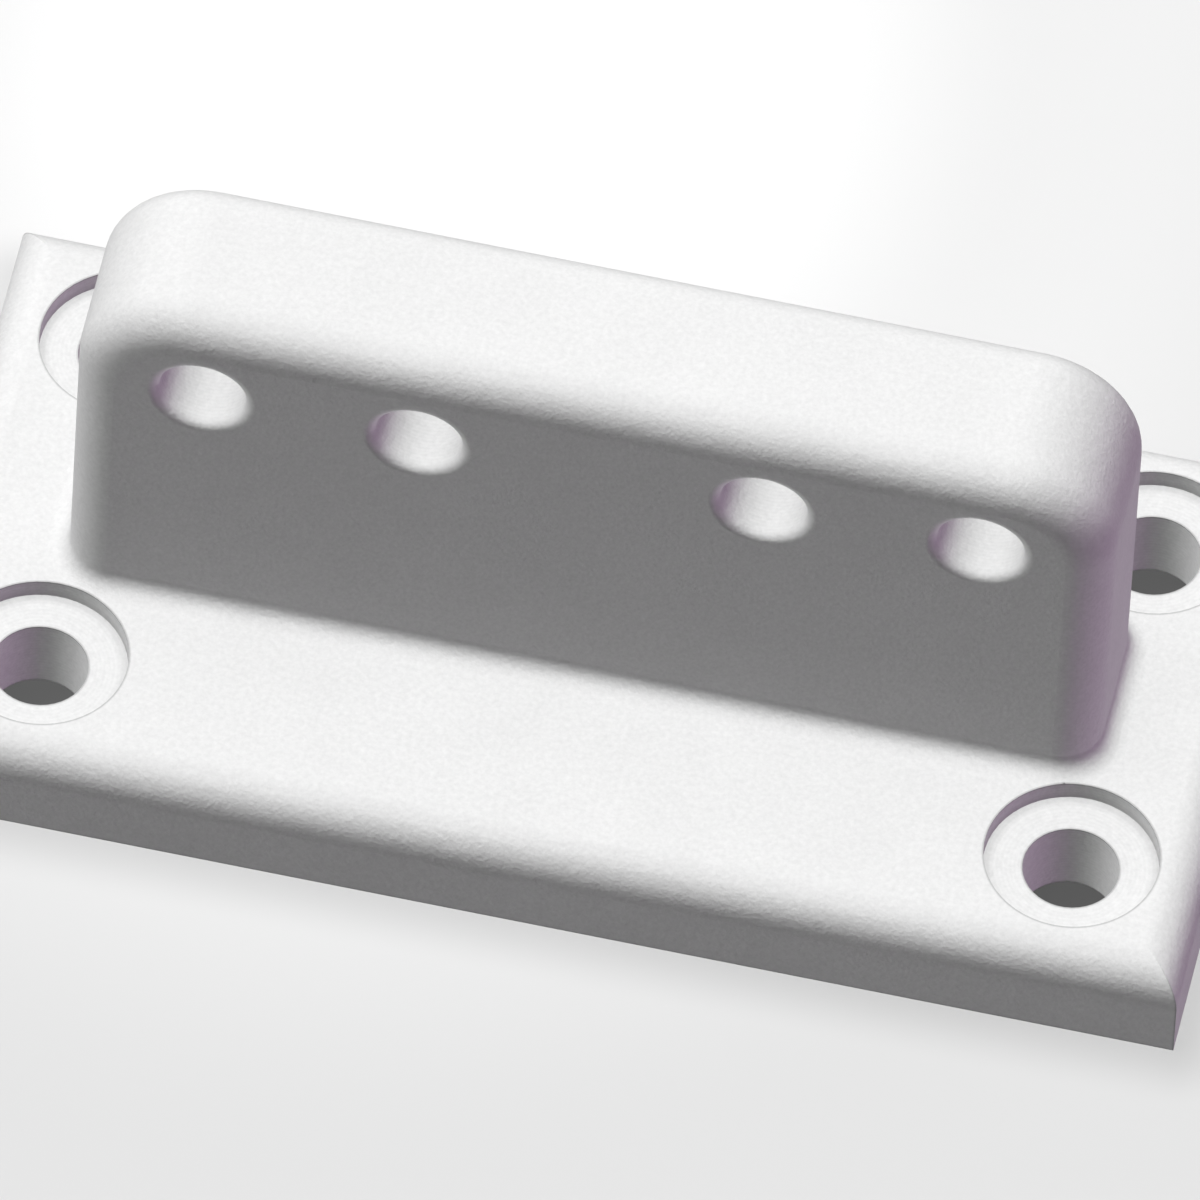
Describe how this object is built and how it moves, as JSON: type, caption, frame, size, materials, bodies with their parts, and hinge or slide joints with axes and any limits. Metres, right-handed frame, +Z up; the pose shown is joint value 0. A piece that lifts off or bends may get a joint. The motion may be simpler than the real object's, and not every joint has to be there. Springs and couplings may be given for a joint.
{
  "type": "pipe support bracket",
  "caption": "One-piece bracket: a thick round-edged wall stands on a base plate. Pipe clamps bolt through the wall, and the base plate bolts down through seated holes.",
  "frame": {"origin": "centre of the base plate's underside", "axes": "+X along the wall, which is the bracket's length; +Y from the front face to the back; +Z up, along the bolt holes in the base plate"},
  "size_m": [0.3, 0.15, 0.125],
  "materials": {
    "body": "smooth satin paint, very light neutral grey"
  },
  "bodies": {
    "root": {"bracket": "body"}
  },
  "joints": []
}
